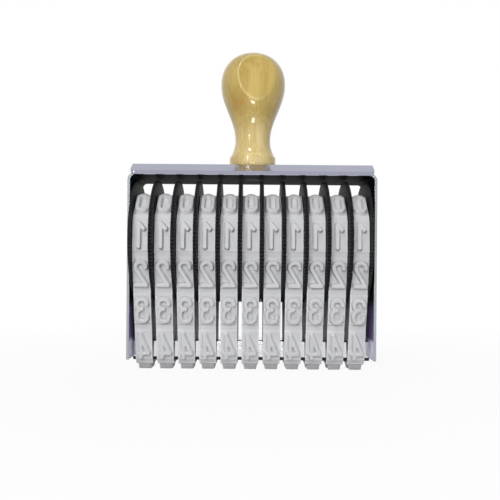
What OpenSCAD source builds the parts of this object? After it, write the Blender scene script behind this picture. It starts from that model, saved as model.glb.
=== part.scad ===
// Rubber-band numbering stamp: a row of thumb wheels in a steel frame, each
// with its own band of raised digits, over an anvil that backs the print row.
// X runs along the axle, -Y is the front, +Z is up. The origin is under the
// middle of the frame, on the plane of the printing digits. Millimetres.

/* [Print row] */
// Number of bands, each with its own thumb wheel
band_count = 11; // [3:1:11]
// Width of a band
band_w = 6.4; // [6:0.1:8]
// Thickness of a band under its digits
band_t = 1.4; // [1:0.1:1.8]
// Height of the raised digits above the band
relief_h = 2; // [1.2:0.1:2.2]

/* [Digits] */
// Height of a digit, to the middle of its sloped sides
digit_h = 10.3; // [9:0.1:11]
// Width of a digit
digit_w = 5.3; // [4.8:0.1:5.6]
// Width of the strokes
stroke_w = 1.6; // [1.2:0.1:2]

/* [Wheels] */
// Height of the axle above the print plane
axle_z = 48.7; // [46:0.1:52]
// Radius of the axle
axle_r = 2; // [1.5:0.1:3]
// Radius of the drum that carries the band
drum_r = 15.7; // [14.5:0.05:16.2]
// Radius of the knurled flanges, over the teeth
flange_r = 23.35; // [22:0.05:24]
// Thickness of one flange
flange_t = 0.6; // [0.4:0.05:1]
// Teeth around a flange
knurl_teeth = 108; // [60:2:140]
// Depth of the teeth
knurl_depth = 0.5; // [0.2:0.05:0.6]
// Grip grooves around the drum
drum_grooves = 16; // [8:1:24]
// Radius of a grip groove
groove_r = 0.8; // [0.4:0.1:1.2]
// Angle between two neighbouring pads of the band on the drum
pad_angle = 42.5; // [40:0.5:44]

/* [Frame] */
// Thickness of the frame's steel strip
strip_t = 1; // [0.9:0.1:1.6]
// Depth of the frame, front to back
frame_d = 30; // [26:1:34]
// Outer radius of the frame's two bends
bend_r = 3; // [2:0.5:4]
// Height of the legs' lower ends above the print plane
leg_z = 4.6; // [3.6:0.1:6]
// Thickness of the plain washer at the left end of the wheels
washer_t = 0.5; // [0.3:0.1:0.8]
// Thickness of the spring washer at the right end of the wheels
spring_washer_t = 1.3; // [1:0.1:1.6]

/* [Anvil] */
// Half of the anvil's depth, front to back
anvil_half_d = 6.2; // [5.6:0.1:6.2]
// Radius of the cushion's two long lower edges
cushion_edge_r = 1.25; // [0.8:0.05:1.7]
// Height of the anvil, from its walls' lower ends to its flat top
anvil_h = 6.4; // [6:0.1:9]
// Thickness of the anvil's sheet
anvil_t = 1; // [0.8:0.1:1.4]
// Height of the end tabs' lower ends above the walls' lower ends
tab_up = 0.4; // [0:0.1:1]
// Radius of the anvil's rivets
rivet_r = 1.25; // [1:0.05:1.6]
// Distance between the two rivets at one end
rivet_gap = 5.6; // [5:0.1:6]
// Thickness of the rubber cushion under the anvil
cushion_t = 1.3; // [1.3:0.1:2.4]
// How far the cushion's tongue reaches up between the anvil's walls
tongue_h = 1.2; // [0.8:0.1:2]

/* [Top plate] */
// Height of the crown's underside above the frame
crown_h = 2.95; // [1.6:0.05:6]
// Depth of the crown's flat top, front to back
flat_d = 19.2; // [18:0.1:24]
// Thickness of the top plate
plate_t = 0.6; // [0.5:0.05:0.8]
// How far each end of the top plate stays inside the frame's side
plate_inset = 1; // [0.8:0.1:2.5]
// How far the plate's front and back lips reach down over the frame
plate_lip = 1; // [0.4:0.1:1.2]
// Radius of the plate's four corners
corner_r = 1.6; // [0.8:0.1:3]

/* [Handle] */
// Height of the handle above the top plate
handle_h = 44.2; // [38:0.1:60]
// Radius of the handle's bulb
bulb_r = 12.4; // [11:0.1:14]
// Height of the widest place of the bulb below the top
bulb_drop = 12.3; // [11:0.1:16]
// Radius of the handle's neck
neck_r = 6.75; // [6:0.05:7.6]
// Height of the neck above the top plate
neck_z = 10.5; // [9:0.1:12]
// Radius of the foot
foot_r = 8.9; // [8.6:0.1:10]
// Radius of the hollow curve between neck and foot
hollow_r = 12; // [9:0.1:16]
// Greatest distance of the thumb facet from the handle's axis
facet_y = 10.8; // [9:0.1:11.5]
// Radius of the facet's bow, up and down
facet_bow = 60; // [40:1:120]
// Turn of the facet from the front towards the right
facet_turn = 8; // [0:1:20]
// Length of the handle screw
screw_l = 26; // [18:1:32]
// Radius of the handle screw
screw_r = 1.8; // [1.5:0.1:2.2]
// Radius of the screw's head
head_r = 3.1; // [2.8:0.1:3.6]
// Distance from one turn of the screw's thread to the next
thread_pitch = 1.8; // [1.4:0.1:2.4]

/* [Hidden] */
$fn = 64;              // sides of a circle, unless a shape names its own
side_gap = 0.1;        // between a band and the flange beside it
wheel_gap = 0.2;       // between one wheel and the next
drum_gap = 0.2;        // between the drum and the band's pads
turn_gap = 0.05;       // radial running clearance of a wheel on the axle
seat_gap = 0.05;       // between pieces that are seated on each other
hole_gap = 0.05;       // radial clearance of a rivet, screw or rod in its hole
flange_clear = 0.1;    // between the flanges and the bends of the frame
end_play = 0.05;       // at each side of an end washer
joint_sink = 0.3;      // how far a digit's foot is rooted in the band
cut = 1;               // how far a cutting shape runs past what it cuts
stroke_trim = 0.02;    // how far a stroke's round ends stay inside its sides
bend_steps = 5;        // flat steps in one bend of the band
peen_t = 0.7;          // depth of a flush peened end, in the frame's side
peen_rim = 1;          // how far the axle's peened ends reach past it
rivet_rim = 0.6;       // how far a rivet's heads reach past its shank
rivet_head_t = 0.8;    // height of a rivet's inner head
washer_rim = 3;        // how far the plain washer reaches past the axle
spring_rim = 2;        // how far the spring washer reaches past the axle
spring_split = 0.8;    // width of the split in the spring washer

loop_cells = 12;       // ten digits, a dash and a blank
top_pads = 5;          // pads of the band that lie on the drum
run_pads = 3;          // pads on the front run, and as many on the back run

// Wheel stack
spool_w = band_w + 2 * side_gap;
wheel_w = spool_w + 2 * flange_t;
band_pitch = wheel_w + wheel_gap;
stack_w = band_count * band_pitch - wheel_gap;
left_room = washer_t + 2 * end_play;
right_room = spring_washer_t + 2 * end_play;
inner_w = stack_w + left_room + right_room;
outer_w = inner_w + 2 * strip_t;
stack_x = -inner_w / 2 + left_room;

// Band loop, on the middle of its thickness, as seen from the side
pad_r = drum_r + drum_gap + band_t / 2;
base_z = relief_h;
low_z = base_z + band_t / 2;
low_bend_r = cushion_edge_r + seat_gap + band_t / 2;
top_bend_r = 3;
edge_centre = [-(anvil_half_d - cushion_edge_r), low_z + low_bend_r];
run_top = drum_corner(0);
run_way = run_top - edge_centre;
run_lean = atan(-run_way[0] / run_way[1]) - asin(low_bend_r / norm(run_way));
run_low = [run_top[0] + (run_top[1] - low_z) * tan(run_lean), low_z];

// Frame. The flanges stay clear of its upper bends on the inside
bend_in_r = bend_r - strip_t;
bend_side = max(bend_in_r - left_room, 0);
top_gap = bend_in_r - sqrt(pow(bend_in_r, 2) - pow(bend_side, 2)) + flange_clear;
under_z = axle_z + flange_r + top_gap;
deck_z = under_z + strip_t;

// Top plate
edge_y = frame_d / 2 + seat_gap;
seat_z = deck_z + seat_gap;
ridge_z = seat_z + crown_h + plate_t;
plate_l = outer_w - 2 * plate_inset;

// Anvil and its cushion
cushion_z = base_z + band_t + seat_gap;
anvil_z = cushion_z + cushion_t + seat_gap;
rivet_z = anvil_z + (anvil_h - anvil_t) / 2;
rivet_in_x = inner_w / 2 - seat_gap - anvil_t - rivet_head_t;

bore_r = axle_r + turn_gap;
peen_r = axle_r + peen_rim;

steel = [0.78, 0.79, 0.82];
chrome = [0.72, 0.72, 0.78];
black = [0.13, 0.13, 0.14];
rubber = [0.78, 0.78, 0.79];
dark_rubber = [0.1, 0.1, 0.1];
wood = [0.8, 0.68, 0.42];

// ---- Helpers ----

function numbered(name, i) = str(name, "_", i < 10 ? "0" : "", i);
function unit(v) = v / norm(v);
function turned(v, a) = [v[0] * cos(a) - v[1] * sin(a), v[0] * sin(a) + v[1] * cos(a)];
function mid(a, b, share) = a + (b - a) * share;

// Left side of the spool of wheel i, counted from 1
function spool_x(i) = stack_x + (i - 1) * band_pitch + flange_t;

// Extrudes a side view, drawn as [y, z], along X from x
module along_x(x, length) {
    translate([x, 0, 0]) rotate([90, 0, 90]) linear_extrude(length) children();
}

// Round bar along X
module rod_x(x, length, r) {
    translate([x, 0, 0]) rotate([0, 90, 0]) cylinder(h = length, r = r);
}

// Cone along X, from radius r1 at x to r2
module cone_x(x, length, r1, r2) {
    translate([x, 0, 0]) rotate([0, 90, 0]) cylinder(h = length, r1 = r1, r2 = r2);
}

// Slice of a ring between two angles that are less than 180 degrees apart
module ring_slice(r_in, r_out, a0, a1, sides) {
    far = 2 * r_out / cos((a1 - a0) / 2);
    intersection() {
        difference() {
            circle(r_out, $fn = sides);
            circle(r_in, $fn = sides);
        }
        polygon([[0, 0], far * [cos(a0), sin(a0)], far * [cos(a1), sin(a1)]]);
    }
}

// ---- Digits ----
// A digit is a list of strokes about its centre, read the right way round.
// ["line", from, to] is straight, and ["arc", centre, from angle, to angle]
// turns with the digit's own round radius.

round_r = (digit_w - stroke_w) / 2;
top_y = (digit_h - stroke_w) / 2;
high_y = top_y - round_r;
waist_y = top_y * 0.12;
stem_x = 0.65;
flag = [-1.75, -2.1];
four_x = 1;
four_y = -top_y * 0.62;

function bowl(y0, y1, a0, a1) = [
    ["arc", [0, y1], 0, a1],
    ["line", [round_r, y0], [round_r, y1]],
    ["arc", [0, y0], a0, 0]];

function rotated(strokes) = [for (s = strokes)
    s[0] == "line" ? ["line", -s[1], -s[2]] : ["arc", -s[1], s[2] + 180, s[3] + 180]];

function six() = concat(
    bowl(-high_y, waist_y - round_r, -90, 90),
    [["arc", [0, waist_y - round_r], 90, 180],
     ["line", [-round_r, -high_y], [-round_r, high_y]],
     ["arc", [0, -high_y], -180, -90],
     ["arc", [0, high_y], 90, 180],
     ["arc", [0, high_y], 15, 90]]);

DASH = 10;
BLANK = 11;

function strokes(d) =
    d == 0 ? concat(bowl(-high_y, high_y, -90, 90), rotated(bowl(-high_y, high_y, -90, 90)))
    : d == 1 ? [
        ["line", [stem_x, -top_y], [stem_x, top_y]],
        ["line", [stem_x, top_y], [stem_x, top_y] + flag]]
    : d == 2 ? [
        ["arc", [0, high_y], 90, 190],
        ["arc", [0, high_y], -25, 90],
        ["line", high_y * [0, 1] + round_r * [cos(25), -sin(25)], [-round_r, -top_y]],
        ["line", [-round_r, -top_y], [round_r, -top_y]]]
    : d == 3 ? concat(
        [["arc", [0, high_y], 90, 185]],
        bowl(waist_y + round_r, high_y, -90, 90),
        bowl(-high_y, waist_y - round_r, -90, 90),
        [["arc", [0, -high_y], -185, -90]])
    : d == 4 ? [
        ["line", [four_x, -top_y], [four_x, top_y]],
        ["line", [four_x, top_y], [-round_r, four_y]],
        ["line", [-round_r, four_y], [round_r, four_y]]]
    : d == 5 ? concat(
        [["line", [-round_r * 0.9, top_y], [round_r * 0.9, top_y]],
         ["line", [-round_r * 0.9, top_y], [-round_r, waist_y]],
         ["arc", [0, waist_y - round_r * 0.6], 90, 150]],
        bowl(-high_y, waist_y - round_r * 0.6, -90, 90),
        [["arc", [0, -high_y], -190, -90]])
    : d == 6 ? six()
    : d == 7 ? [
        ["line", [-round_r, top_y], [round_r, top_y]],
        ["line", [round_r, top_y], [0, 0]],
        ["line", [0, 0], [-round_r * 0.35, -top_y]]]
    : d == 8 ? concat(
        bowl(waist_y + round_r, high_y, -90, 90),
        rotated(bowl(-high_y, -waist_y - round_r, -90, 90)),
        bowl(-high_y, waist_y - round_r, -90, 90),
        rotated(bowl(round_r - waist_y, high_y, -90, 90)))
    : d == 9 ? rotated(six())
    : d == DASH ? [["line", [-round_r * 0.8, 0], [round_r * 0.8, 0]]]
    : [];

// Round end of a stroke, a hair inside the stroke's sides so that no edges are tangent
module stroke_end(place) {
    translate(place) circle(stroke_w / 2 - stroke_trim, $fn = 24);
}

module line_stroke(from, to) {
    length = norm(to - from);
    angle = atan2(to[1] - from[1], to[0] - from[0]);
    translate(from) rotate(angle) translate([0, -stroke_w / 2]) square([length, stroke_w]);
    stroke_end(from);
    stroke_end(to);
}

module arc_stroke(centre, a0, a1) {
    translate(centre) ring_slice(round_r - stroke_w / 2, round_r + stroke_w / 2, a0, a1, 48);
    for (a = [a0, a1]) stroke_end(centre + round_r * [cos(a), sin(a)]);
}

module digit(d) {
    for (s = strokes(d)) {
        if (s[0] == "line") line_stroke(s[1], s[2]);
        if (s[0] == "arc") arc_stroke(s[1], s[2], s[3]);
    }
}

// ---- Band loop ----
// Angles run from 0 at the front over 90 at the top to 180 at the back.

function about_axle(r, a) = [-r * cos(a), axle_z + r * sin(a)];
function pad_normal(i) = 90 + (i - (top_pads - 1) / 2) * pad_angle;
function drum_corner(i) = about_axle(pad_r / cos(pad_angle / 2), pad_normal(i) - pad_angle / 2);

loop_corners = concat(
    [run_low],
    [for (i = [0:top_pads]) drum_corner(i)],
    [[-run_low[0], run_low[1]]]);

// Points of one rounded corner of the loop, side_off outside its middle
function bend(i, side_off) =
    let (
        n = len(loop_corners),
        here = loop_corners[i],
        before = unit(loop_corners[(i + n - 1) % n] - here),
        after = unit(loop_corners[(i + 1) % n] - here),
        half = acos(before * after) / 2,
        r = i == 0 || i == n - 1 ? low_bend_r : top_bend_r,
        centre = here + unit(before + after) * r / sin(half),
        start = here + before * r / tan(half) - centre)
    [for (k = [0:bend_steps])
        centre + turned(start, -(180 - 2 * half) * k / bend_steps) * (r + side_off) / r];

function loop_line(side_off) = [
    for (i = [0:len(loop_corners) - 1]) for (p = bend(i, side_off)) p];

// Where each pad's middle lies on the loop's outer face, and the angle it faces
function run_point(k) =
    mid(run_low, run_top, (k - 0.5) / run_pads) - band_t / 2 * [cos(run_lean), sin(run_lean)];
function cell_place(c) =
    c == 0 ? [[0, base_z], 270]
    : c <= run_pads ? [run_point(c), -run_lean]
    : c <= run_pads + top_pads
        ? let (a = pad_normal(c - run_pads - 1)) [about_axle(pad_r + band_t / 2, a), a]
    : let (p = run_point(loop_cells - c)) [[-p[0], p[1]], 180 + run_lean];

// What each pad carries, from the print row up the front and down the back
loop_signs = [5, 4, 3, 2, 1, 0, BLANK, DASH, 9, 8, 7, 6];

module band(i) {
    x = spool_x(i) + side_gap;
    color(rubber) union() {
        along_x(x, band_w) difference() {
            polygon(loop_line(band_t / 2));
            polygon(loop_line(-band_t / 2));
        }
        for (c = [0:loop_cells - 1])
            let (place = cell_place(c))
            if (loop_signs[c] != BLANK)
                translate([x + band_w / 2, place[0][0], place[0][1]])
                    rotate([90 - place[1], 0, 0])
                        translate([0, 0, -joint_sink]) mirror([1, 0, 0])
                            linear_extrude(relief_h + joint_sink) digit(loop_signs[c]);
    }
}

// ---- Thumb wheel ----

function knurl_line() = [
    for (k = [0:2 * knurl_teeth - 1])
        about_axle(flange_r - (k % 2) * knurl_depth, k * 180 / knurl_teeth)];

module wheel(i) {
    x = spool_x(i);
    color(black) difference() {
        union() {
            along_x(x - flange_t, flange_t) polygon(knurl_line());
            translate([0, 0, axle_z]) rod_x(x, spool_w, drum_r);
            along_x(x + spool_w, flange_t) polygon(knurl_line());
        }
        translate([0, 0, axle_z]) rod_x(x - flange_t - cut, wheel_w + 2 * cut, bore_r);
        for (k = [0:drum_grooves - 1])
            let (p = about_axle(drum_r, (k + 0.5) * 360 / drum_grooves))
            translate([0, p[0], p[1]]) rod_x(x, spool_w, groove_r);
    }
}

// ---- Axle and washers ----

module axle() {
    color(steel) translate([0, 0, axle_z]) union() {
        rod_x(-outer_w / 2, outer_w, axle_r);
        cone_x(-outer_w / 2, peen_t, peen_r, axle_r);
        cone_x(outer_w / 2 - peen_t, peen_t, axle_r, peen_r);
    }
}

module end_washer() {
    color(steel) translate([0, 0, axle_z]) difference() {
        rod_x(-inner_w / 2 + end_play, washer_t, axle_r + washer_rim);
        rod_x(-inner_w / 2 - cut, washer_t + 2 * cut, bore_r);
    }
}

module spring_washer() {
    color(steel) translate([0, 0, axle_z]) difference() {
        rod_x(inner_w / 2 - end_play - spring_washer_t, spring_washer_t, axle_r + spring_rim);
        rod_x(inner_w / 2 - spring_washer_t - cut, spring_washer_t + 2 * cut, bore_r);
        translate([inner_w / 2 - spring_washer_t - cut, -spring_split / 2, 0])
            cube([spring_washer_t + 2 * cut, spring_split, axle_r + spring_rim + cut]);
    }
}

// ---- Frame ----

// Upright rectangle with two round upper corners
module arch(w, z0, z1, r) {
    translate([-w / 2, z0]) square([w, z1 - r - z0]);
    translate([-w / 2 + r, z0]) square([w - 2 * r, z1 - z0]);
    for (side = [-1, 1])
        translate([side * (w / 2 - r), z1 - r]) circle(r);
}

module frame() {
    color(steel) difference() {
        translate([0, frame_d / 2, 0]) rotate([90, 0, 0]) linear_extrude(frame_d) difference() {
            arch(outer_w, leg_z, deck_z, bend_r);
            arch(inner_w, leg_z - cut, under_z, bend_in_r);
        }
        translate([0, 0, axle_z]) {
            rod_x(-outer_w / 2 - cut, outer_w + 2 * cut, axle_r + hole_gap);
            cone_x(-outer_w / 2, peen_t, peen_r + hole_gap, axle_r + hole_gap);
            cone_x(outer_w / 2 - peen_t, peen_t, axle_r + hole_gap, peen_r + hole_gap);
        }
        rivet_holes(outer_w / 2, strip_t);
        translate([0, 0, under_z])
            cylinder(h = strip_t, r1 = head_r + hole_gap, r2 = screw_r + hole_gap);
        translate([0, 0, under_z - cut])
            cylinder(h = strip_t + 2 * cut, r = screw_r + hole_gap);
    }
}

// ---- Top plate ----

// Side view of the crown up to z1, with its lips down to z0. The outer side
// is the inner one moved out by t everywhere.
module crown_side(z0, t) {
    slope = atan(crown_h / (edge_y - flat_d / 2));
    shoulder = [edge_y + t, seat_z + t * cos(slope) / (1 + sin(slope))];
    brow = [flat_d / 2 + t * sin(slope) / (1 + cos(slope)), seat_z + crown_h + t];
    polygon([
        [-shoulder[0], z0], [shoulder[0], z0], shoulder, brow,
        [-brow[0], brow[1]], [-shoulder[0], shoulder[1]]]);
}

// Plan of the top plate, inset all round
module plate_plan(inset) {
    half_l = plate_l / 2 - inset;
    half_d = edge_y + plate_t - inset;
    r = max(corner_r - inset, seat_gap);
    square([2 * half_l, 2 * (half_d - r)], center = true);
    square([2 * (half_l - r), 2 * half_d], center = true);
    for (x = [-1, 1]) for (y = [-1, 1])
        translate([x * (half_l - r), y * (half_d - r)]) circle(r);
}

module top_plate() {
    lip_z = deck_z - plate_lip;
    color(chrome) difference() {
        intersection() {
            along_x(-plate_l / 2, plate_l) crown_side(lip_z, plate_t);
            translate([0, 0, lip_z - cut])
                linear_extrude(ridge_z - lip_z + 2 * cut) plate_plan(0);
        }
        intersection() {
            along_x(-plate_l / 2 + plate_t, plate_l - 2 * plate_t) crown_side(seat_z - cut, 0);
            translate([0, 0, seat_z - cut])
                linear_extrude(ridge_z - seat_z + 2 * cut) plate_plan(plate_t);
        }
        translate([-plate_l / 2 - cut, -edge_y, lip_z - cut])
            cube([plate_l + 2 * cut, 2 * edge_y, seat_z - lip_z + cut]);
        translate([0, 0, deck_z])
            cylinder(h = ridge_z - deck_z + cut, r = screw_r + hole_gap);
    }
}

// ---- Handle and its screw ----

foot_edge_r = 1;       // rounding of the foot's shoulder, tangent to the hollow above it
crown_power = 2.2;     // fullness of the bulb's top, where 2 is an ellipse
curve_step = 6;        // degrees along the bulb's top, or steps along a shorter curve
facet_drop = 5;        // the facet's foremost place below the bulb's widest

// Right half of the handle's outline, from the foot up, above the top plate
function handle_line() =
    let (
        widest = handle_h - bulb_drop,
        reach = hollow_r + foot_edge_r,
        hollow_end = acos((reach + neck_r - foot_r) / reach),
        edge_z = neck_z - reach * sin(hollow_end))
    concat(
        [for (k = [0:4])
            let (a = hollow_end * k / 4)
            [foot_r - foot_edge_r * (1 - cos(a)), edge_z + foot_edge_r * sin(a)]],
        [for (k = [1:curve_step])
            let (a = hollow_end * (1 - k / curve_step))
            [neck_r + hollow_r * (1 - cos(a)), neck_z - hollow_r * sin(a)]],
        [for (k = [1:3 * curve_step])
            let (share = k / (3 * curve_step))
            [neck_r + (bulb_r - neck_r) * (1 - cos(180 * share)) / 2,
             mid(neck_z, widest, share)]],
        [for (a = [curve_step:curve_step:84])
            [bulb_r * pow(cos(a), 2 / crown_power),
             widest + bulb_drop * pow(sin(a), 2 / crown_power)]],
        [[0, handle_h]]);

// All that lies in front of the handle's bowed thumb facet
module facet_front() {
    facet_z = handle_h - bulb_drop - facet_drop;
    difference() {
        translate([-bulb_r, -2 * bulb_r, neck_z])
            cube([2 * bulb_r, 2 * bulb_r, handle_h]);
        translate([0, facet_bow - facet_y, facet_z])
            rod_x(-bulb_r - cut, 2 * bulb_r + 2 * cut, facet_bow, $fn = 240);
    }
}

module handle() {
    color(wood) translate([0, 0, ridge_z + seat_gap]) difference() {
        rotate_extrude($fn = 128) polygon(concat([[0, 0], [foot_r, 0]], handle_line()));
        rotate([0, 0, facet_turn]) facet_front();
        translate([0, 0, -cut])
            cylinder(h = under_z + screw_l + hole_gap - ridge_z + cut, r = screw_r + hole_gap);
    }
}

module handle_screw() {
    thread_depth = 0.4;
    point_r = 0.2;
    tip_l = 3;
    thread_z = 8;
    blade_w = 0.8;
    blade_depth = 0.9;
    core_r = screw_r - thread_depth;
    turns = floor((screw_l - tip_l - thread_z) / thread_pitch);
    color(steel) translate([0, 0, under_z]) difference() {
        union() {
            cylinder(h = strip_t, r1 = head_r, r2 = screw_r);
            cylinder(h = thread_z, r = screw_r);
            cylinder(h = screw_l - tip_l, r = core_r);
            translate([0, 0, screw_l - tip_l])
                cylinder(h = tip_l, r1 = core_r, r2 = point_r);
            for (k = [0:turns - 1]) translate([0, 0, thread_z + k * thread_pitch]) {
                cylinder(h = thread_pitch / 2, r1 = core_r, r2 = screw_r);
                translate([0, 0, thread_pitch / 2])
                    cylinder(h = thread_pitch / 4, r1 = screw_r, r2 = core_r);
            }
        }
        translate([-head_r - cut, -blade_w / 2, -cut])
            cube([2 * head_r + 2 * cut, blade_w, blade_depth + cut]);
    }
}

// ---- Anvil and its rivets ----

channel_edge_r = 0.6;  // outer radius of the anvil's two long edges
inner_edge_r = 0.25;   // radius inside them

// Side view of a long block with two round lower edges
module keel(d, z0, h, r) {
    intersection() {
        union() {
            translate([-d, z0 + r]) square([2 * d, h - r]);
            translate([-d + r, z0]) square([2 * d - 2 * r, h]);
            for (side = [-1, 1]) translate([side * (d - r), z0 + r]) circle(r, $fn = 48);
        }
        translate([-d, z0]) square([2 * d, h]);
    }
}

// Rubber strip with round lower edges and a tongue on top
module anvil_cushion() {
    half_l = inner_w / 2 - seat_gap;
    tongue_x = rivet_in_x - seat_gap;
    tongue_y = anvil_half_d - anvil_t - seat_gap;
    root_z = cushion_z + cushion_t / 2;
    color(dark_rubber) union() {
        along_x(-half_l, 2 * half_l)
            keel(anvil_half_d, cushion_z, cushion_t, cushion_edge_r);
        translate([-tongue_x, -tongue_y, root_z])
            cube([2 * tongue_x, 2 * tongue_y, anvil_z + tongue_h - root_z]);
    }
}

// Sheet channel with its flat side up, and a tab bent down at each end
module anvil() {
    half_l = inner_w / 2 - seat_gap;
    tab_half = anvil_half_d - anvil_t;
    color(steel) translate([0, 0, anvil_z]) difference() {
        union() {
            along_x(-half_l, 2 * half_l) translate([0, anvil_h]) mirror([0, 1]) difference() {
                keel(anvil_half_d, 0, anvil_h, channel_edge_r);
                keel(anvil_half_d - anvil_t, anvil_t, anvil_h, inner_edge_r);
            }
            for (side = [-1, 1])
                translate([side * (half_l - anvil_t / 2) - anvil_t / 2, -tab_half, tab_up])
                    cube([anvil_t, 2 * tab_half, anvil_h - anvil_t / 2 - tab_up]);
        }
        translate([0, 0, -anvil_z]) rivet_holes(half_l, anvil_t);
    }
}

// Places its children, drawn along X towards +X, at the four rivets
module at_rivets() {
    for (side = [0, 180]) for (y = [-1, 1])
        rotate([0, 0, side]) translate([0, y * rivet_gap / 2, rivet_z]) children();
}

module rivet_holes(outer_x, wall) {
    at_rivets() rod_x(outer_x - wall - cut, wall + 2 * cut, rivet_r + hole_gap);
    if (outer_x > inner_w / 2)
        at_rivets() cone_x(outer_x - peen_t, peen_t, rivet_r + hole_gap, rivet_r + rivet_rim + hole_gap);
}

module anvil_rivets() {
    color(steel) at_rivets() union() {
        rod_x(rivet_in_x, outer_w / 2 - rivet_in_x, rivet_r);
        cone_x(rivet_in_x, rivet_head_t - seat_gap, rivet_r + rivet_rim / 2, rivet_r + rivet_rim);
        cone_x(outer_w / 2 - peen_t, peen_t, rivet_r, rivet_r + rivet_rim);
    }
}

// ---- Output ----

frame();
top_plate();
handle();
handle_screw();
axle();
end_washer();
spring_washer();
anvil();
anvil_cushion();
anvil_rivets();
for (i = [1:band_count]) wheel(i);
for (i = [1:band_count]) band(i);
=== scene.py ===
"""Looks of the rubber-band numbering stamp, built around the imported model.

X runs along the axle, -Y is the front and +Z is up. Shapes are worked out in
millimetres and scaled to metres as each mesh is made.
"""
import math

import bpy
import numpy as np
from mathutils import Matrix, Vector


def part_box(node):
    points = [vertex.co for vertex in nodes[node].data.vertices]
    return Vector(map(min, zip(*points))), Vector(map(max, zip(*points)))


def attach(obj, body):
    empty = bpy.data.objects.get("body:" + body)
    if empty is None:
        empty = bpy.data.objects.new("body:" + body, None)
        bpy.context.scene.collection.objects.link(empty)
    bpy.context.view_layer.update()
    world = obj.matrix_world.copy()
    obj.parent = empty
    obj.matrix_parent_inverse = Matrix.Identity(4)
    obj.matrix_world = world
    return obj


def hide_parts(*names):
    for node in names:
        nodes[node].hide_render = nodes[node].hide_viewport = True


MM = 0.001

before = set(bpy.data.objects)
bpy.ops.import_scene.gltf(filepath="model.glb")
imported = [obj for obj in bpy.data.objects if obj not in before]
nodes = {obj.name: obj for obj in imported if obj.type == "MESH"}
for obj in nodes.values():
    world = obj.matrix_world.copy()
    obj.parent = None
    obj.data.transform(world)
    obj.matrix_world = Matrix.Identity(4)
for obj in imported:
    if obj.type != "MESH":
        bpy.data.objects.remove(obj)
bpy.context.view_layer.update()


def box_mm(node):
    """A CAD node's lowest and highest corners, in millimetres."""
    low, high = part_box(node)
    return np.array(low) / MM, np.array(high) / MM


# ---- Sizes of the construction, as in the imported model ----

BAND_NODES = sorted(n for n in nodes if n.startswith("band_"))
WHEEL_NODES = sorted(n for n in nodes if n.startswith("wheel_"))
BAND_LOW, BAND_HIGH = box_mm(BAND_NODES[0])
WHEEL_LOW, WHEEL_HIGH = box_mm(WHEEL_NODES[0])
HANDLE_LOW, HANDLE_HIGH = box_mm("handle")

AXLE_Z = (WHEEL_LOW[2] + WHEEL_HIGH[2]) / 2
BAND_W = BAND_HIGH[0] - BAND_LOW[0]
FLANGE_R = (WHEEL_HIGH[2] - WHEEL_LOW[2]) / 2
BAND_T = 1.4            # thickness of a band under its digits
RELIEF_H = 2.0          # height of the digits above the band
DRUM_R = 15.7
DRUM_GAP = 0.2
PAD_ANGLE = 42.5        # between neighbouring pads on the drum
TOP_PADS = 5
RUN_PADS = 3
ANVIL_HALF_D = 6.2
CUSHION_EDGE_R = 1.25
SEAT_GAP = 0.05
TOP_BEND_R = 3.0        # bends of the band, at the middle of its thickness
LOW_BEND_R = CUSHION_EDGE_R + SEAT_GAP + BAND_T / 2

DIGIT_H = 10.3
DIGIT_W = 5.3
STROKE_W = 1.6

FRAME_HIGH = box_mm("frame")[1]
STRIP_T = 1.0

HANDLE_Z = HANDLE_LOW[2]
HANDLE_H = HANDLE_HIGH[2] - HANDLE_LOW[2]
BULB_R = 12.4
BULB_DROP = 12.3        # from the handle's top down to the bulb's widest
WIDEST_Z = HANDLE_H - BULB_DROP     # heights of the handle are above its foot
NECK_R = 6.75
NECK_Z = 10.5
FOOT_R = 8.9
HOLLOW_R = 12.0
FOOT_EDGE_R = 1.0       # rounding of the foot's shoulder, tangent to the hollow
FOOT_BREAK = (0.15, 0.12)           # broken edge of the foot, across and up
CROWN_POWER = 2.2       # fullness of the bulb's top, where 2 is an ellipse
HANDLE_SIDES = 256

FACET_Y = 10.9          # greatest distance of the thumb facet from the axis
FACET_BOW = 74.0        # radius of the facet, up and down
FACET_Z = WIDEST_Z - 9.4            # height of its foremost place
FACET_TURN = math.radians(8)        # from the front towards the right
FACET_FRONT = (math.sin(FACET_TURN), -math.cos(FACET_TURN))
FACET_SOFT = 0.22       # rounding of the facet's edge


# ---- Meshes ----

def make_mesh(name, points, faces, material, smooth=True):
    """An object of a mesh given in millimetres."""
    mesh = bpy.data.meshes.new(name)
    mesh.from_pydata((np.asarray(points, float) * MM).tolist(), [], faces)
    mesh.validate()
    mesh.polygons.foreach_set("use_smooth", [smooth] * len(mesh.polygons))
    mesh.materials.append(material)
    mesh.update()
    obj = bpy.data.objects.new(name, mesh)
    bpy.context.scene.collection.objects.link(obj)
    return obj


def grid_faces(rows, cols, wrap_rows=False, wrap_cols=False):
    """Quads of a grid of points stored row by row."""
    found = []
    for i in range(rows if wrap_rows else rows - 1):
        for j in range(cols if wrap_cols else cols - 1):
            a, b = i * cols, (i + 1) % rows * cols
            k = (j + 1) % cols
            found.append((a + j, a + k, b + k, b + j))
    return found


# ---- Materials ----

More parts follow.
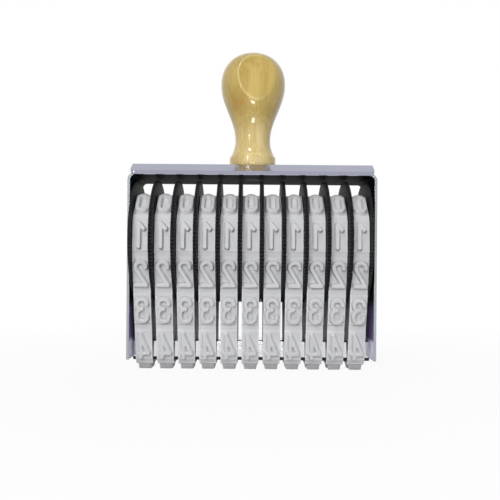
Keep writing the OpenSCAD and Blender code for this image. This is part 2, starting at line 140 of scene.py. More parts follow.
class Shader:
    """A small builder of one material's nodes."""

    def __init__(self, name):
        self.material = bpy.data.materials.new(name)
        self.material.use_nodes = True
        self.tree = self.material.node_tree
        self.tree.nodes.clear()
        self.coords = self.node("ShaderNodeTexCoord").outputs["Object"]
        self.output = self.node("ShaderNodeOutputMaterial")

    def node(self, kind, **settings):
        made = self.tree.nodes.new(kind)
        for key, value in settings.items():
            setattr(made, key, value)
        return made

    def put(self, socket, value):
        """Links a socket to another's output, or sets it to a value."""
        if isinstance(value, bpy.types.NodeSocket):
            self.tree.links.new(value, socket)
        else:
            socket.default_value = value

    def principled(self, **inputs):
        """The finished material, from inputs named with _ for each space."""
        made = self.node("ShaderNodeBsdfPrincipled")
        for key, value in inputs.items():
            self.put(made.inputs[key.replace("_", " ")], value)
        self.tree.links.new(made.outputs["BSDF"], self.output.inputs["Surface"])
        return self.material

    def xyz(self):
        made = self.node("ShaderNodeSeparateXYZ")
        self.put(made.inputs[0], self.coords)
        return made.outputs

    def vector(self, operation, *inputs):
        """The outputs of a vector node: a vector, and a number for a measure."""
        made = self.node("ShaderNodeVectorMath", operation=operation)
        for socket, value in zip(made.inputs, inputs):
            self.put(socket, value)
        return made.outputs

    def stretched(self, scale, source=None):
        made = self.node("ShaderNodeMapping")
        self.put(made.inputs["Vector"], source or self.coords)
        made.inputs["Scale"].default_value = scale
        return made.outputs["Vector"]

    def noise(self, scale, detail=3.0, rough=0.5, vector=None, distortion=0.0):
        made = self.node("ShaderNodeTexNoise")
        self.put(made.inputs["Vector"], vector or self.coords)
        for key, value in (("Scale", scale), ("Detail", detail), ("Roughness", rough),
                           ("Distortion", distortion)):
            made.inputs[key].default_value = value
        return made.outputs["Fac"]

    def ramp(self, fac, *stops):
        made = self.node("ShaderNodeValToRGB")
        self.put(made.inputs["Fac"], fac)
        band = made.color_ramp.elements
        while len(band) < len(stops):
            band.new(0.5)
        for element, (place, colour) in zip(band, stops):
            element.position = place
            element.color = (*colour, 1)
        return made.outputs["Color"]

    def level(self, fac, low, high, start=0.3, end=0.7):
        """Maps a share from start to end onto low to high."""
        made = self.node("ShaderNodeMapRange")
        self.put(made.inputs["Value"], fac)
        for key, value in (("From Min", start), ("From Max", end), ("To Min", low),
                           ("To Max", high)):
            made.inputs[key].default_value = value
        return made.outputs["Result"]

    def mix(self, fac, a, b, blend="MIX"):
        made = self.node("ShaderNodeMix", data_type="RGBA", blend_type=blend)
        self.put(made.inputs[0], fac)
        for socket, value in ((made.inputs[6], a), (made.inputs[7], b)):
            self.put(socket, (*value, 1) if isinstance(value, tuple) else value)
        return made.outputs[2]

    def math(self, operation, a, b=0.0):
        made = self.node("ShaderNodeMath", operation=operation)
        self.put(made.inputs[0], a)
        self.put(made.inputs[1], b)
        return made.outputs[0]

    def bump(self, height, distance, strength):
        made = self.node("ShaderNodeBump")
        self.put(made.inputs["Height"], height)
        made.inputs["Distance"].default_value = distance
        made.inputs["Strength"].default_value = strength
        return made.outputs["Normal"]


BUMP_FINE = 0.01 * MM   # heights of the surface grain
BUMP_MIDDLE = 0.02 * MM
BUMP_COARSE = 0.03 * MM


def grey_rubber():
    """Matt rubber with a fine speck, paler along a band's long edges as a painted highlight.
    """
    s = Shader("grey_rubber")
    cloud = s.noise(130, 3)
    speck = s.noise(2600, 2)
    colour = s.mix(s.level(cloud, 0, 1), (0.535, 0.538, 0.548), (0.59, 0.593, 0.602))
    colour = s.mix(s.level(speck, 0, 0.35, 0.55, 0.8), colour, (0.46, 0.46, 0.475))
    # paler colour along both long edges of a band: a painted highlight
    painted_highlight_from, painted_highlight_to = BAND_W / 2 - 0.55, BAND_W / 2 - 0.15
    painted_highlight_share = s.level(s.math("ABSOLUTE", s.xyz()[0]), 0, 1, painted_highlight_from * MM, painted_highlight_to * MM)
    colour = s.mix(painted_highlight_share, colour, (0.68, 0.685, 0.69))
    return s.principled(Base_Color=colour, Roughness=s.level(cloud, 0.5, 0.62),
                        Specular_IOR_Level=0.25, Normal=s.bump(speck, BUMP_COARSE, 0.5))


def black_plastic():
    """Dull plastic, a little paler on the wheels' rims as a painted sheen."""
    s = Shader("black_plastic")
    cloud = s.noise(260, 3)
    fine = s.noise(3200, 2)
    across, height = s.xyz()[1:]
    height = s.math("SUBTRACT", height, AXLE_Z * MM)
    radius = s.math("SQRT", s.math("ADD", s.math("MULTIPLY", height, height),
                                   s.math("MULTIPLY", across, across)))
    rim = s.level(radius, 0, 1, (FLANGE_R - 0.45) * MM, (FLANGE_R - 0.1) * MM)
    colour = s.mix(s.level(cloud, 0, 1), (0.006, 0.006, 0.0065), (0.012, 0.012, 0.013))
    # the paler rim colour is a painted sheen
    colour = s.mix(rim, colour, (0.03, 0.03, 0.032))
    return s.principled(Base_Color=colour, Roughness=s.level(fine, 0.42, 0.55),
                        Specular_IOR_Level=0.035, Normal=s.bump(fine, BUMP_MIDDLE, 0.4))


def wiped_lines(s, axis):
    """Grain of faint wiped scratches along one axis."""
    scale = [900.0, 900.0, 900.0]
    scale[axis] = 25.0
    return s.noise(1, 4, 0.6, s.stretched(scale))


def metal(name, colour, low, high, scratch_axis, scratch=0.25):
    """Metal with faint wiped scratches, its roughness from low to high."""
    s = Shader(name)
    lines = wiped_lines(s, scratch_axis)
    cloud = s.noise(70, 3)
    dark = tuple(c * 0.95 for c in colour)
    return s.principled(Base_Color=s.mix(s.level(cloud, 0, 1), colour, dark), Metallic=1.0,
                        Roughness=s.level(lines, low, high),
                        Normal=s.bump(lines, BUMP_FINE, scratch))


def frame_steel():
    """Polished outside. The faces towards the wheels carry painted shade, dark and black up
    under the top, which turns violet and then pale towards the open end as painted reflection."""
    s = Shader("polished_steel")
    lines = wiped_lines(s, 2)
    cloud = s.noise(70, 3)
    x, y, z = s.xyz()
    inner_x = (FRAME_HIGH[0] - STRIP_T + 0.02) * MM
    inner_z = (FRAME_HIGH[2] - STRIP_T + 0.02) * MM
    half_d = (FRAME_HIGH[1] - 0.12) * MM
    inside = s.math("LESS_THAN", s.math("ABSOLUTE", x), inner_x)
    inside = s.math("MULTIPLY", inside, s.math("LESS_THAN", z, inner_z))
    inside = s.math("MULTIPLY", inside,
                    s.math("LESS_THAN", s.math("ABSOLUTE", y), half_d))
    steel = s.mix(s.level(cloud, 0, 1), (0.42, 0.455, 0.48), (0.37, 0.405, 0.43))
    height = s.level(z, 0, 1, 5 * MM, 35 * MM)
    # painted shade and painted reflection on the faces towards the wheels: pale low down, then
    # violet, then black up under the top
    painted_shade_and_reflection = s.ramp(height, (0.2, (0.80, 0.80, 0.95)), (0.25, (0.18, 0.13, 0.30)),
                   (0.62, (0.13, 0.095, 0.22)), (0.72, (0.006, 0.006, 0.009)))
    rough = s.math("ADD", s.level(lines, 0.14, 0.24), s.math("MULTIPLY", inside, 0.35))
    return s.principled(Base_Color=s.mix(inside, steel, painted_shade_and_reflection),
                        Metallic=s.math("SUBTRACT", 1.0, inside), Roughness=rough,
                        Specular_IOR_Level=0.011, Normal=s.bump(lines, BUMP_FINE, 0.25))


PALE_NECK = (12, 21)    # the grain is pale up to the first height, and deep from the second
KNOT_PLACE = (-6.5, -9.5, 101.0)    # a warm brown patch in the grain
KNOT_R = 6.0


def knot(s):
    """Share of the knot's colour, streaked along the grain."""
    streak = s.noise(520, 3, 0.6, s.stretched((1, 1, 0.45)), 0.6)
    away = s.vector("DISTANCE", s.coords, [v * MM for v in KNOT_PLACE])[1]
    near = s.level(away, 1, 0, KNOT_R * 0.2 * MM, KNOT_R * MM)
    return s.math("MULTIPLY", near, s.level(streak, 0.15, 1, 0.4, 0.6))


def facet_painted_highlight(s, patch):
    """Share of the paler wood on the facet's rim, a painted highlight. It lies where the
    surface is just inside the facet's bow, and it fades to the right."""
    x, _, z = s.xyz()
    ahead = s.vector("DOT_PRODUCT", s.coords, (*FACET_FRONT, 0.0))[1]
    ahead = s.math("ADD", ahead, (FACET_BOW - FACET_Y) * MM)
    up = s.math("SUBTRACT", z, (HANDLE_Z + FACET_Z) * MM)
    far = s.math("SQRT", s.math("ADD", s.math("MULTIPLY", ahead, ahead),
                                s.math("MULTIPLY", up, up)))
    depth = s.math("MULTIPLY", s.math("SUBTRACT", FACET_BOW * MM, far), 1 / MM)
    outer = s.level(depth, 1, 0, 0.15, 0.4)
    inner = s.level(depth, 0, 0.55, 0.04, 0.15)
    fade = s.level(x, 1, 0.1, 1 * MM, 8 * MM)
    # the painted highlight is broken up by the patches of the grain
    painted_highlight_share = s.level(patch, 1, 0.25, 0.45, 0.6)
    return s.math("MULTIPLY", s.math("MULTIPLY", s.math("MULTIPLY", outer, inner), fade), painted_highlight_share)


def varnished_wood():
    """Yellow wood with its grain upright, under a clear coat."""
    s = Shader("varnished_wood")
    bent = s.vector("MULTIPLY_ADD", s.noise(38, 2), (0.006, 0.006, 0.0), s.coords)[0]
    growth = s.noise(1, 3, 0.5, s.stretched((150, 150, 9), bent))
    fibre = s.noise(1, 5, 0.65, s.stretched((420, 420, 14), bent))
    fine = s.noise(1, 3, 0.6, s.stretched((1500, 1500, 35), bent))
    patch = s.noise(62, 2, 0.5, s.stretched((1, 1, 0.55)))
    deep = s.ramp(growth, (0.34, (0.41, 0.292, 0.058)), (0.5, (0.46, 0.328, 0.080)),
                  (0.66, (0.53, 0.386, 0.112)))
    pale = s.ramp(growth, (0.34, (0.57, 0.43, 0.175)), (0.5, (0.65, 0.51, 0.23)),
                  (0.66, (0.71, 0.58, 0.30)))
    low = s.level(s.xyz()[2], 0, 0.8, (HANDLE_Z + PALE_NECK[1]) * MM,
                  (HANDLE_Z + PALE_NECK[0]) * MM)
    wood = s.mix(low, deep, pale)
    wood = s.mix(s.level(fibre, 0, 0.45, 0.45, 0.72), wood, (0.74, 0.66, 0.45), "MULTIPLY")
    wood = s.mix(s.level(fine, 0, 0.6, 0.45, 0.65), wood, (0.80, 0.73, 0.52), "MULTIPLY")
    wood = s.mix(s.level(patch, 0, 0.5, 0.52, 0.72), wood, (0.40, 0.30, 0.06))
    wood = s.mix(knot(s), wood, (0.40, 0.21, 0.03))
    # paler wood along the facet's rim: a painted highlight
    wood = s.mix(facet_painted_highlight(s, patch), wood, (0.80, 0.69, 0.36))
    return s.principled(Base_Color=wood, Roughness=s.level(fibre, 0.38, 0.52),
                        Specular_IOR_Level=0.2, Coat_Weight=1.0, Coat_Roughness=0.06,
                        Coat_IOR=1.45, Normal=s.bump(fibre, BUMP_COARSE, 0.2))


def black_rubber():
    s = Shader("black_rubber")
    fine = s.noise(2200, 2)
    colour = s.mix(s.level(fine, 0, 1), (0.010, 0.010, 0.011), (0.022, 0.022, 0.023))
    return s.principled(Base_Color=colour, Roughness=0.75, Specular_IOR_Level=0.3,
                        Normal=s.bump(fine, BUMP_COARSE, 0.5))


def screw_painted_shade():
    """Steel of the screw's head, coloured black as painted shade under the top plate."""
    s = Shader("screw_painted_shade")
    fine = s.noise(1800, 2)
    # black colour: painted shade, since the head sits in the shade under the top plate
    colour = s.mix(s.level(fine, 0, 1), (0.008, 0.008, 0.010), (0.02, 0.02, 0.022))
    return s.principled(Base_Color=colour, Roughness=s.level(fine, 0.45, 0.6),
                        Specular_IOR_Level=0.05, Normal=s.bump(fine, BUMP_MIDDLE, 0.4))


MATERIALS = {
    "black_rubber": black_rubber(),
    "grey_rubber": grey_rubber(),
    "black_plastic": black_plastic(),
    "polished_steel": frame_steel(),
    # the top plate's dark lavender colour is a painted reflection of a grey-lavender
    # surrounding
    "chromed_plate": metal("chromed_plate", (0.358, 0.364, 0.458), 0.10, 0.16, 0, 0.15),
    "chromed_anvil": metal("chromed_anvil", (0.73, 0.73, 0.745), 0.06, 0.12, 0, 0.15),
    "plain_steel": metal("plain_steel", (0.50, 0.51, 0.54), 0.25, 0.42, 1),
    "screw_painted_shade": screw_painted_shade(),
    "varnished_wood": varnished_wood(),
}


# ---- Digits ----
# A digit is a list of strokes about its centre, read the right way round.

ROUND_R = (DIGIT_W - STROKE_W) / 2
TOP_Y = (DIGIT_H - STROKE_W) / 2
HIGH_Y = TOP_Y - ROUND_R
WAIST_Y = TOP_Y * 0.12
STEM_X = 0.65           # the stem of a 1, right of the middle
DASH = 10
BLANK = 11
LOOP_SIGNS = [5, 4, 3, 2, 1, 0, BLANK, DASH, 9, 8, 7, 6]
FLAT_HALF = 0.60        # half the width of a stroke's printing face
FOOT_HALF = 0.98        # half its width where its sloped sides meet the band


def line(x0, y0, x1, y1):
    """A straight stroke from one point to another."""
    return ("line", (x0, y0), (x1, y1))


def arc(y, a0, a1):
    """An arc of ROUND_R about (0, y), between two angles in degrees."""
    return ("arc", (0, y), a0, a1)


def bowl(y0, y1, a0, a1):
    """The right side of a ring that is drawn out from y0 up to y1, between two
    angles in degrees."""
    return [arc(y1, 0, a1), line(ROUND_R, y0, ROUND_R, y1), arc(y0, a0, 0)]


def rotated(strokes):
    """Strokes turned by half a turn."""
    return [("line", (-s[1][0], -s[1][1]), (-s[2][0], -s[2][1])) if s[0] == "line"
            else ("arc", (-s[1][0], -s[1][1]), s[2] + 180, s[3] + 180) for s in strokes]


def six():
    low = WAIST_Y - ROUND_R
    return bowl(-HIGH_Y, low, -90, 90) + [
        arc(low, 90, 180), line(-ROUND_R, -HIGH_Y, -ROUND_R, HIGH_Y),
        arc(-HIGH_Y, -180, -90), arc(HIGH_Y, 90, 180), arc(HIGH_Y, 15, 90)]


def strokes_of(sign):
    """The strokes of a digit, the dash or the blank."""
    r, top = ROUND_R, TOP_Y
    whole = bowl(-HIGH_Y, HIGH_Y, -90, 90)
    low = WAIST_Y - r
    tail = math.radians(25)
    return {
        0: whole + rotated(whole),
        1: [line(STEM_X, -top, STEM_X, top), line(STEM_X, top, STEM_X - 1.75, top - 2.1)],
        2: [arc(HIGH_Y, 90, 190), arc(HIGH_Y, -25, 90),
            line(r * math.cos(tail), HIGH_Y - r * math.sin(tail), -r, -top),
            line(-r, -top, r, -top)],
        3: [arc(HIGH_Y, 90, 185)] + bowl(WAIST_Y + r, HIGH_Y, -90, 90)
           + bowl(-HIGH_Y, low, -90, 90) + [arc(-HIGH_Y, -185, -90)],
        4: [line(1, -top, 1, top), line(1, top, -r, -top * 0.62),
            line(-r, -top * 0.62, r, -top * 0.62)],
        5: [line(-r * 0.9, top, r * 0.9, top), line(-r * 0.9, top, -r, WAIST_Y),
            arc(WAIST_Y - r * 0.6, 90, 150)] + bowl(-HIGH_Y, WAIST_Y - r * 0.6, -90, 90)
           + [arc(-HIGH_Y, -190, -90)],
        6: six(),
        7: [line(-r, top, r, top), line(r, top, 0, 0), line(0, 0, -r * 0.35, -top)],
        8: bowl(WAIST_Y + r, HIGH_Y, -90, 90) + rotated(bowl(-HIGH_Y, -WAIST_Y - r, -90, 90))
           + bowl(-HIGH_Y, low, -90, 90) + rotated(bowl(r - WAIST_Y, HIGH_Y, -90, 90)),
        9: rotated(six()),
        DASH: [line(-r * 0.8, 0, r * 0.8, 0)],
        BLANK: [],
    }[sign]


def nearest(points, stroke):
    """The nearest point of a stroke's middle line to each point."""
    if stroke[0] == "line":
        start, end = np.array(stroke[1]), np.array(stroke[2])
        way = end - start
        share = np.clip(((points - start) @ way) / (way @ way), 0, 1)
        return start + share[:, None] * way
    centre, a0, a1 = np.array(stroke[1]), stroke[2], stroke[3]
    off = points - centre
    middle, half = (a0 + a1) / 2, (a1 - a0) / 2
    angle = np.degrees(np.arctan2(off[:, 1], off[:, 0])) - middle
    angle = np.clip((angle + 180) % 360 - 180, -half, half) + middle
    angle = np.radians(angle)
    return centre + ROUND_R * np.stack([np.cos(angle), np.sin(angle)], axis=1)


def carved(points, sign, step):
    """Points of a digit's cell moved onto the digit's edges, and the share of
    the relief's height that each has."""
    best = np.full(len(points), 1e9)
    foot = np.zeros_like(points)
    for stroke in strokes_of(sign):
        near = nearest(points, stroke)
        far = np.linalg.norm(points - near, axis=1)
        closer = far < best
        best[closer] = far[closer]
        foot[closer] = near[closer]
    moved = points.copy()
    away = (points - foot) / np.maximum(best, 1e-6)[:, None]
    for edge in (FLAT_HALF, FOOT_HALF):
        snap = np.abs(best - edge) < 0.5 * step
        moved[snap] += (away * (edge - best)[:, None])[snap]
        best[snap] = edge
    return moved, np.clip((FOOT_HALF - best) / (FOOT_HALF - FLAT_HALF), 0, 1)


# ---- Bands ----

GRID = 0.21             # step of the grid that the digits are carved on
PAD_HALF = 5.75         # half the length of a pad, which stands on the band
PAD_STEP = 0.35         # how far the band between two pads lies lower
PAD_EDGE = 0.2          # length of the slope down from a pad's end
EDGE_ROUND = 0.2        # rounding of a band's long edges
EDGE_IN = 0.06          # its middle point, in from both faces


def about_axle(r, angle):
    """A point round the axle as [y, z], by its angle up from the front."""
    a = math.radians(angle)
    return np.array([-r * math.cos(a), AXLE_Z + r * math.sin(a)])


def loop_corners():
    """Corners of the band's middle line as [y, z], from the front lower one over
    the top to the back lower one."""
    pad_r = DRUM_R + DRUM_GAP + BAND_T / 2
    first = 90 - (TOP_PADS - 1) / 2 * PAD_ANGLE - PAD_ANGLE / 2
    drum = [about_axle(pad_r / math.cos(math.radians(PAD_ANGLE / 2)), first + i * PAD_ANGLE)
            for i in range(TOP_PADS + 1)]
    low_z = RELIEF_H + BAND_T / 2
    edge = np.array([-(ANVIL_HALF_D - CUSHION_EDGE_R), low_z + LOW_BEND_R])
    way = drum[0] - edge
    lean = math.atan(-way[0] / way[1]) - math.asin(LOW_BEND_R / np.linalg.norm(way))
    low = np.array([drum[0][0] + (drum[0][1] - low_z) * math.tan(lean), low_z])
    return [low] + drum + [low * (-1, 1)]


def bend_part(r, turn, count, forwards):
    """Half of a bend as (distance along, drop, angle), from or to its flat end."""
    out_r = r + BAND_T / 2
    angles = np.linspace(0, turn / 2, count + 1)
    if not forwards:
        angles = -angles[::-1]
    return [(out_r * math.sin(a), out_r * (1 - math.cos(a)), a) for a in angles]


def pad_rows():
    """Rows of the band all the way round. Each is (cell, distance from the cell's
    middle, drop below the cell's plane, angle, cell's middle, along, outward)."""
    corners = loop_corners()
    count = len(corners)
    sides = []
    for k in range(count):
        a, b = corners[k], corners[(k + 1) % count]
        length = np.linalg.norm(b - a)
        sides.append((a, (b - a) / length, length))
    rows = []
    for k, (a, along, length) in enumerate(sides):
        before, after = sides[k - 1][1], sides[(k + 1) % count][1]
        turns = [math.acos(np.clip(one @ other, -1, 1))
                 for one, other in ((before, along), (along, after))]
        radii = [LOW_BEND_R if i in (0, count - 1) else TOP_BEND_R
                 for i in (k, (k + 1) % count)]
        ends = [r * math.tan(turn / 2) for r, turn in zip(radii, turns)]
        outward = np.array([-along[1], along[0]])
        if k == count - 1:
            cells = [0]
        elif k in (0, count - 2):
            first = 1 if k == 0 else RUN_PADS + TOP_PADS + 1
            cells = list(range(first, first + RUN_PADS))
        else:
            cells = [RUN_PADS + k]
        cell_l = length / len(cells)
        for i, cell in enumerate(cells):
            middle = a + along * cell_l * (i + 0.5) + outward * BAND_T / 2
            stations = []
            start, end = i * cell_l, (i + 1) * cell_l
            if i == 0:
                steps = max(2, round(radii[0] * turns[0] / 2 / GRID))
                stations += [(ends[0] + s, d, t)
                             for s, d, t in bend_part(radii[0], turns[0], steps, False)[:-1]]
                start = ends[0]
            tail = []
            if i == len(cells) - 1:
                end = length - ends[1]
                steps = max(2, round(radii[1] * turns[1] / 2 / GRID))
                tail = [(end + s, d, t)
                        for s, d, t in bend_part(radii[1], turns[1], steps, True)[:-1]]
            flat = np.linspace(start, end, max(2, round((end - start) / GRID)) + 1)
            stations += [(s, 0.0, 0.0) for s in flat[:-1]] + tail
            rows += [(cell, s - cell_l * (i + 0.5), d, t, middle, along, outward)
                     for s, d, t in stations]
    return rows


def band_mesh():
    """Points and faces of one band about x = 0."""
    rows = pad_rows()
    half = BAND_W / 2
    flat_half = half - EDGE_ROUND
    inner_cols = np.linspace(-flat_half, flat_half, round(2 * flat_half / GRID) + 1)
    edge_x, edge_fall = [-half, -half + EDGE_IN], [-EDGE_ROUND, -EDGE_IN]
    cols = np.array(edge_x + list(inner_cols) + [-x for x in reversed(edge_x)])
    falls = np.array(edge_fall + [0] * len(inner_cols) + edge_fall[::-1])
    outer = np.zeros((len(rows), len(cols), 3))
    inner = np.zeros((len(rows), 2, 3))
    cells = np.array([r[0] for r in rows])
    for cell in range(len(LOOP_SIGNS)):
        picked = np.flatnonzero(cells == cell)
        offs = np.array([rows[k][1] for k in picked])
        drops = np.array([rows[k][2] for k in picked])
        x, v = np.meshgrid(cols, offs)
        points = np.stack([-x.ravel(), v.ravel()], axis=1)
        share = np.zeros(len(points))
        if strokes_of(LOOP_SIGNS[cell]):
            points, share = carved(points, LOOP_SIGNS[cell], GRID)
        share = share.reshape(x.shape)
        seam = PAD_STEP * np.clip((np.abs(offs) - PAD_HALF) / PAD_EDGE, 0, 1)
        if cell == 0:       # the printing pad, pulled flat between its two bends
            seam *= 0
        floor = -drops[:, None] - seam[:, None] + falls[None, :]
        height = floor + (RELIEF_H - floor) * share
        middle, along, outward = rows[picked[0]][4:]
        across = -points[:, 0].reshape(x.shape)
        across[:, :2], across[:, -2:] = cols[:2], cols[-2:]
        run = points[:, 1].reshape(x.shape)
        outer[picked, :, 0] = across
        outer[picked, :, 1] = middle[0] + run * along[0] + height * outward[0]
        outer[picked, :, 2] = middle[1] + run * along[1] + height * outward[1]
        turn = np.array([rows[k][3] for k in picked])
        for side, sign in ((0, -1), (1, 1)):
            inner[picked, side, 0] = sign * half
            for axis in (0, 1):
                inner[picked, side, axis + 1] = (
                    middle[axis] + (offs - BAND_T * np.sin(turn)) * along[axis]
                    - (drops + BAND_T * np.cos(turn)) * outward[axis])
    n, m = len(rows), len(cols)
    points = np.concatenate([outer.reshape(-1, 3), inner.reshape(-1, 3)])
    faces = grid_faces(n, m, wrap_rows=True)
    first = n * m
    for i in range(n):
        j = (i + 1) % n
        left, right = first + 2 * i, first + 2 * i + 1
        next_left, next_right = first + 2 * j, first + 2 * j + 1
        faces.append((right, left, next_left, next_right))
        faces.append((left, i * m, j * m, next_left))
        faces.append((i * m + m - 1, right, next_right, j * m + m - 1))
    return points, faces


def make_bands():
    """One mesh that all the bands share."""
    points, faces = band_mesh()
    shared = None
    for name in BAND_NODES:
        low, high = box_mm(name)
        number = name.split("_")[1]
        if shared is None:
            band = make_mesh(f"digit_band_{number}", points, faces, MATERIALS["grey_rubber"])
            shared = band.data
        else:
            band = bpy.data.objects.new(f"digit_band_{number}", shared)
            bpy.context.scene.collection.objects.link(band)
        band.location.x = (low[0] + high[0]) / 2 * MM
        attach(band, "root")
        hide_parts(name)


# ---- Handle ----

def handle_outline():
    """Right half of the handle's outline as [radius, height above the foot]."""
    reach = HOLLOW_R + FOOT_EDGE_R
    hollow_end = math.acos((reach + NECK_R - FOOT_R) / reach)
    edge_z = NECK_Z - reach * math.sin(hollow_end)
    foot = [(FOOT_R - FOOT_BREAK[0], 0.0), (FOOT_R, FOOT_BREAK[1]), (FOOT_R, edge_z / 2)]
    shoulder = [(FOOT_R - FOOT_EDGE_R * (1 - math.cos(a)), edge_z + FOOT_EDGE_R * math.sin(a))
                for a in np.linspace(0, hollow_end, 10)]
    hollow = [(NECK_R + HOLLOW_R * (1 - math.cos(a)), NECK_Z - HOLLOW_R * math.sin(a))
              for a in np.linspace(hollow_end, 0, 20)[1:]]
    swell = [(NECK_R + (BULB_R - NECK_R) * (1 - math.cos(math.pi * s)) / 2,
              NECK_Z + (WIDEST_Z - NECK_Z) * s) for s in np.linspace(0, 1, 76)[1:]]
    crown = [(BULB_R * math.cos(a) ** (2 / CROWN_POWER),
              WIDEST_Z + BULB_DROP * math.sin(a) ** (2 / CROWN_POWER))
             for a in np.linspace(0, math.pi / 2, 60)[1:-1]]
    return foot + shoulder + hollow + swell + crown


def make_handle():
    """A turned body whose points in front of the facet's bow are pulled back to it."""
    sides = HANDLE_SIDES
    angles = np.linspace(0, 2 * math.pi, sides, endpoint=False)
    around = np.stack([np.cos(angles), np.sin(angles)], axis=1)
    rings = [np.column_stack([r * around, np.full(sides, z)]) for r, z in handle_outline()]
    points = np.concatenate(rings + [np.array([[0, 0, HANDLE_H], [0, 0, 0]])])
    front = np.array(FACET_FRONT)
    forward = points[:, :2] @ front + FACET_BOW - FACET_Y
    up = points[:, 2] - FACET_Z
    far = np.hypot(forward, up)
    over = (far - FACET_BOW) / FACET_SOFT
    cut = FACET_SOFT * np.logaddexp(0, np.minimum(over, 60))
    cut[points[:, 2] < NECK_Z] = 0
    points[:, :2] -= (cut * forward / far)[:, None] * front
    points[:, 2] += HANDLE_Z - cut * up / far
    faces = grid_faces(len(rings), sides, wrap_cols=True)
    last = (len(rings) - 1) * sides
    peak, under = len(points) - 2, len(points) - 1
    for j in range(sides):
        k = (j + 1) % sides
        faces.append((last + j, last + k, peak))
        faces.append((k, j, under))
    handle = make_mesh("wooden_handle", points, faces, MATERIALS["varnished_wood"])
    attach(handle, "root")
    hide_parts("handle")


# ---- CAD nodes that stay ----

STAYING = dict.fromkeys(WHEEL_NODES, "black_plastic") | {
    "frame": "polished_steel",
    "top_plate": "chromed_plate",
    "anvil": "chromed_anvil",
    "anvil_cushion": "black_rubber",
    "anvil_rivets": "plain_steel",
    "axle": "plain_steel",
    "end_washer": "plain_steel",
    "spring_washer": "plain_steel",
    # the screw's head is coloured black as painted shade
    "handle_screw": "screw_painted_shade",
}
BROKEN_EDGE = {"frame": 0.14, "top_plate": 0.1, "anvil": 0.1}   # widths
BROKEN_ANGLE = math.radians(40)     # least turn of an edge that is broken


def finish_cad_nodes():
    """Materials for the nodes that stay, and broken edges on the sheet metal."""
    for name, material in STAYING.items():
        node = nodes[name]
        node.data.materials.clear()
        node.data.materials.append(MATERIALS[material])
        if name in BROKEN_EDGE:
            weld = node.modifiers.new("weld", "WELD")
            weld.merge_threshold = 0.001 * MM
            bevel = node.modifiers.new("broken_edge", "BEVEL")
            bevel.width = BROKEN_EDGE[name] * MM
            bevel.segments = 2
            bevel.limit_method = "ANGLE"
            bevel.angle_limit = BROKEN_ANGLE


# ---- Floor, light and camera ----

def seen_ray(tree):
    """1 for rays that show the background: camera, glossy and transmission rays."""
    rays = tree.nodes.new("ShaderNodeLightPath")
    seen = rays.outputs["Is Camera Ray"]
    for kind in ("Is Glossy Ray", "Is Transmission Ray"):
        either = tree.nodes.new("ShaderNodeMath")
        either.operation = "MAXIMUM"
        tree.links.new(seen, either.inputs[0])
        tree.links.new(rays.outputs[kind], either.inputs[1])
        seen = either.outputs[0]
    return seen


FLOOR_HALF = 3000.0
FLOOR_Z = -0.02
FLOOR_WHITE = (60, 220)     # it turns from shaded to white between these distances


def make_floor():
    """Pale floor that keeps a soft shadow near the stamp and is white farther off."""
    s = Shader("pale_floor")
    shade = s.node("ShaderNodeBsdfDiffuse")
    shade.inputs["Color"].default_value = (0.61, 0.61, 0.615, 1)
    glow = s.node("ShaderNodeEmission")
    near, far = (d * MM for d in FLOOR_WHITE)
    white = s.level(s.vector("LENGTH", s.coords)[1], 0.93, 1.0, near, far)
    both = s.node("ShaderNodeMixShader")
    s.put(both.inputs[0], s.math("MULTIPLY", white, seen_ray(s.tree)))
    s.put(both.inputs[1], shade.outputs[0])
    s.put(both.inputs[2], glow.outputs[0])
    s.put(s.output.inputs["Surface"], both.outputs[0])
    corners = [(x * FLOOR_HALF, y * FLOOR_HALF, FLOOR_Z)
               for x, y in ((-1, -1), (1, -1), (1, 1), (-1, 1))]
    floor = make_mesh("floor", corners, [(0, 1, 2, 3)], s.material, smooth=False)


BRIGHT_WAY = (-0.28, -0.90, 0.33)   # from the stamp towards the bright side
STUDIO = ((0.0, 0.14), (0.4, 0.17), (0.75, 0.36), (1.0, 0.42))  # dim side to bright side


def make_world():
    """White to the camera and in reflections. It lights the rest as a soft studio
    that is bright in front and dim behind."""
    world = bpy.data.worlds.new("studio")
    bpy.context.scene.world = world
    world.use_nodes = True
    tree = world.node_tree
    tree.nodes.clear()
    output = tree.nodes.new("ShaderNodeOutputWorld")
    coords = tree.nodes.new("ShaderNodeTexCoord")
    toward = tree.nodes.new("ShaderNodeVectorMath")
    toward.operation = "DOT_PRODUCT"
    tree.links.new(coords.outputs["Generated"], toward.inputs[0])
    toward.inputs[1].default_value = BRIGHT_WAY
    share = tree.nodes.new("ShaderNodeMapRange")
    tree.links.new(toward.outputs["Value"], share.inputs["Value"])
    share.inputs["From Min"].default_value = -1
    ramp = tree.nodes.new("ShaderNodeValToRGB")
    tree.links.new(share.outputs["Result"], ramp.inputs["Fac"])
    while len(ramp.color_ramp.elements) < len(STUDIO):
        ramp.color_ramp.elements.new(0.5)
    for element, (place, grey) in zip(ramp.color_ramp.elements, STUDIO):
        element.position = place
        element.color = (grey, grey, grey * 1.02, 1)
    studio = tree.nodes.new("ShaderNodeBackground")
    tree.links.new(ramp.outputs["Color"], studio.inputs["Color"])
    white = tree.nodes.new("ShaderNodeBackground")
    white.inputs["Color"].default_value = (1, 1, 1, 1)
    both = tree.nodes.new("ShaderNodeMixShader")
    tree.links.new(seen_ray(tree), both.inputs[0])
    tree.links.new(studio.outputs[0], both.inputs[1])
    tree.links.new(white.outputs[0], both.inputs[2])
    tree.links.new(both.outputs[0], output.inputs["Surface"])


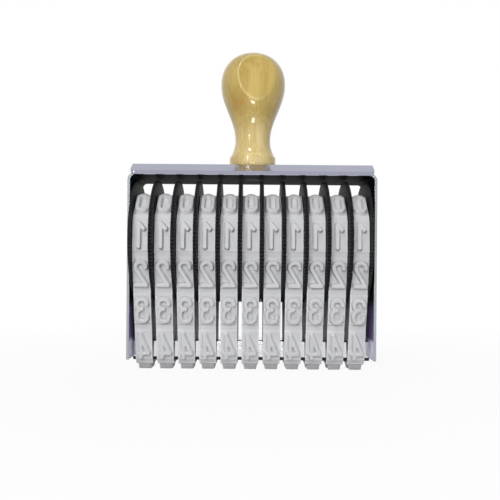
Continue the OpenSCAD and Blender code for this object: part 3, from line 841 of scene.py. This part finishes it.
def make_lamp(name, place, aim, size, power, in_gloss=True, in_diffuse=True):
    """A rectangular lamp, in millimetres and watts, that lights the gloss, the
    plain colour or both."""
    data = bpy.data.lights.new(name, "AREA")
    data.shape = "RECTANGLE"
    data.size, data.size_y = (s * MM for s in size)
    data.energy = power
    lamp = bpy.data.objects.new(name, data)
    bpy.context.scene.collection.objects.link(lamp)
    lamp.location = Vector(place) * MM
    way = (Vector(aim) - Vector(place)) * MM
    lamp.rotation_euler = way.to_track_quat("-Z", "Y").to_euler()
    lamp.visible_camera = False
    lamp.visible_glossy = in_gloss
    lamp.visible_diffuse = in_diffuse


def make_lamps():
    make_lamp("key", (-90, -690, 215), (0, 0, 45), (300, 300), 3.4, in_gloss=False)
    make_lamp("upper_left", (-245, -550, 880), (0, 0, 60), (150, 150), 1.95)
    make_lamp("window", (-285, -640, 200), (0, 0, 90), (40, 160), 0.5, in_diffuse=False)
    make_lamp("low_front", (0, -190, 4), (0, -8, 92), (50, 30), 0.085, in_diffuse=False)
    make_lamp("behind", (120, 700, 260), (0, 0, 50), (300, 300), 2.6, in_gloss=False)


CAMERA_PLACE = (0.05, -264.4, 39.45)
CAMERA_LENS = 48.95
CAMERA_SENSOR_W = 36.0
CAMERA_SHIFT = (-0.0039, 0.0313)
CAMERA_ROLL = -0.0077
CAMERA_CLIP = (0.01, 20)


def make_camera():
    data = bpy.data.cameras.new("camera")
    data.lens = CAMERA_LENS
    data.sensor_width = CAMERA_SENSOR_W
    data.shift_x, data.shift_y = CAMERA_SHIFT
    data.clip_start, data.clip_end = CAMERA_CLIP
    camera = bpy.data.objects.new("camera", data)
    bpy.context.scene.collection.objects.link(camera)
    camera.location = Vector(CAMERA_PLACE) * MM
    camera.rotation_euler = (math.pi / 2, CAMERA_ROLL, 0)
    bpy.context.scene.camera = camera


# ---- The scene ----

make_camera()
make_bands()
make_handle()
finish_cad_nodes()
make_floor()
make_world()
make_lamps()
bpy.context.scene.view_settings.view_transform = "Standard"
